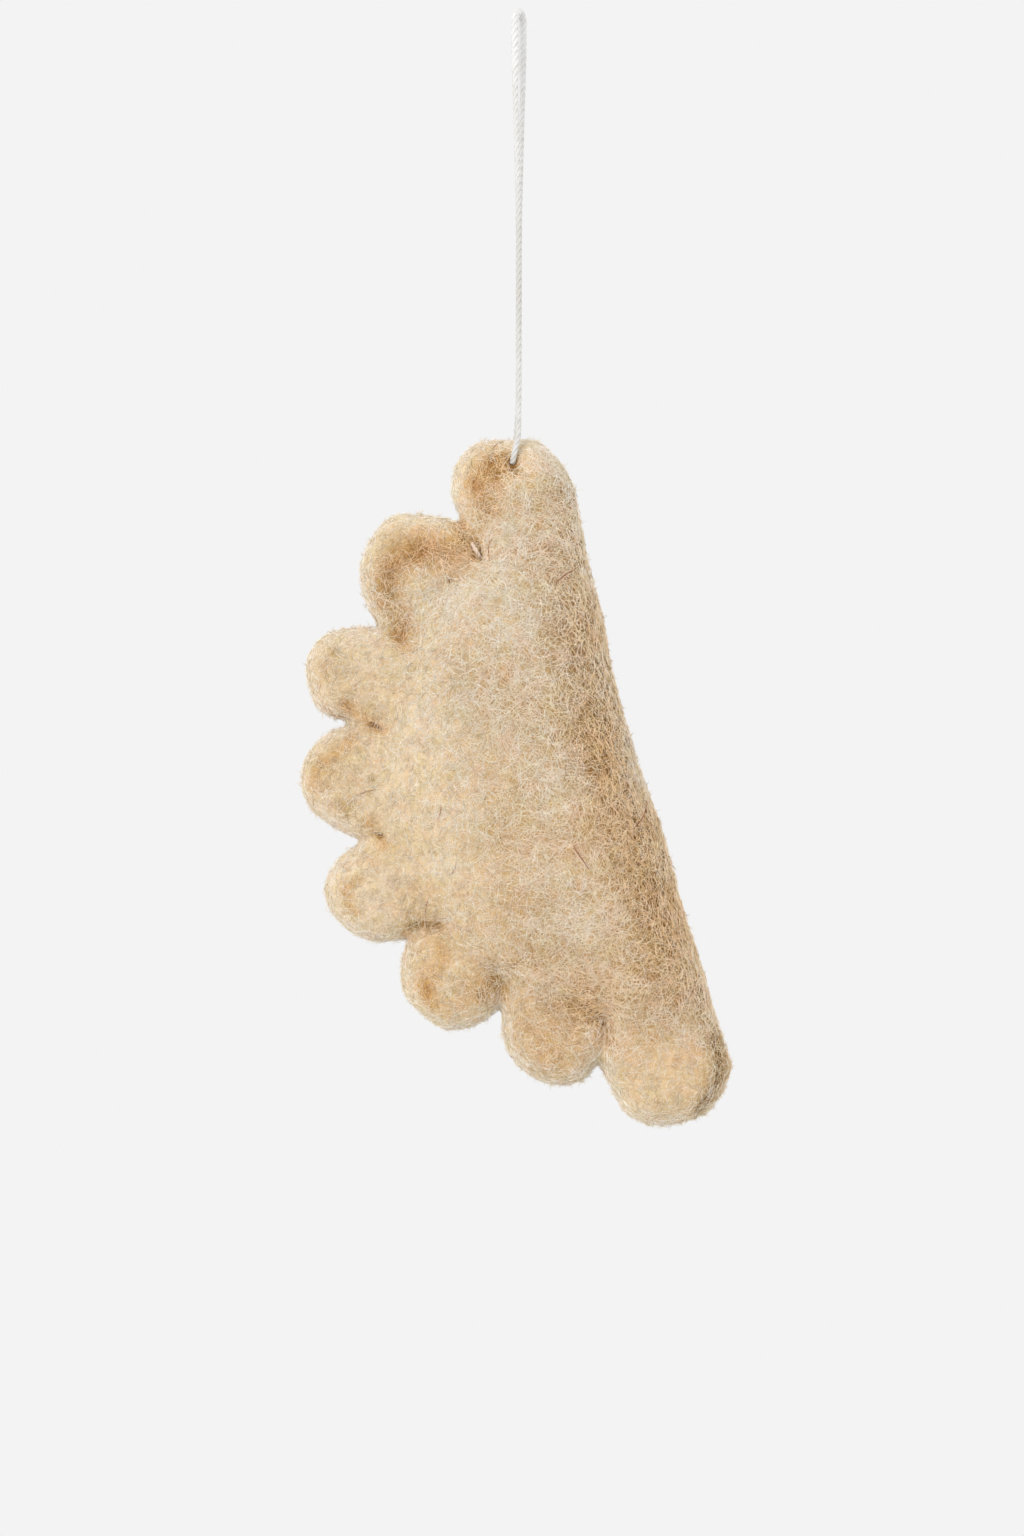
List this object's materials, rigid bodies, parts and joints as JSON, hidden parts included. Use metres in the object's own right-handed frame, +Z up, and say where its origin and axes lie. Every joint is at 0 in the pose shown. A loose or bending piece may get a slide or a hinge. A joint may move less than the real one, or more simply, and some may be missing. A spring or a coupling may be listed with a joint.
{
  "type": "hanging ornament",
  "caption": "Stuffed wool-felt half-moon ornament with a crimped, scalloped edge, hanging by one end lobe from a thin cord loop.",
  "frame": {"origin": "inside of the loop's top bend, where it bears on the hook", "axes": "+Z up along the hanging cord, -Y out of the front face, +X to the right seen from the front"},
  "size_m": [0.0617, 0.0266, 0.1592],
  "materials": {
    "wool_felt": "cream wet-felted wool with tan patches and a short fuzz of fibres",
    "wool_stuffing": "loose carded wool, undyed",
    "stitch_thread": "thin off-white cotton thread",
    "cotton_cord": "matt white two-ply twisted cotton cord"
  },
  "bodies": {
    "loop_eye": {"cord_eye": "cotton_cord"},
    "loop_neck": {"cord_neck_front": "cotton_cord", "cord_neck_back": "cotton_cord"},
    "loop_upper": {"cord_upper_front": "cotton_cord", "cord_upper_back": "cotton_cord"},
    "loop_lower": {"cord_lower_front": "cotton_cord", "cord_lower_back": "cotton_cord", "cord_knot": "cotton_cord"},
    "ornament": {"felt_wrapper": "wool_felt", "wool_stuffing": "wool_stuffing", "crimp_stitch_1": "stitch_thread", "crimp_stitch_2": "stitch_thread", "crimp_stitch_3": "stitch_thread", "crimp_stitch_4": "stitch_thread", "crimp_stitch_5": "stitch_thread", "crimp_stitch_6": "stitch_thread", "crimp_stitch_7": "stitch_thread"}
  },
  "joints": [
    {"name": "loop_sway", "type": "hinge", "parent": "loop_eye", "child": "loop_neck", "pos_m": [0, 0, -0.0026], "axis": [0, 1, 0], "range_deg": [-60, 60], "deforming": ["cord_neck_front", "cord_neck_back"]},
    {"name": "loop_swing", "type": "hinge", "parent": "loop_neck", "child": "loop_upper", "pos_m": [0, 0, -0.0076], "axis": [1, 0, 0], "range_deg": [-60, 60]},
    {"name": "cord_twist", "type": "hinge", "parent": "loop_upper", "child": "loop_lower", "pos_m": [0, 0, -0.032], "axis": [0, 0, 1], "range_deg": [-180, 180]},
    {"name": "lobe_rock", "type": "hinge", "parent": "loop_lower", "child": "ornament", "pos_m": [-0.00093, 0, -0.0639], "axis": [0, 1, 0], "range_deg": [-60, 60]}
  ]
}
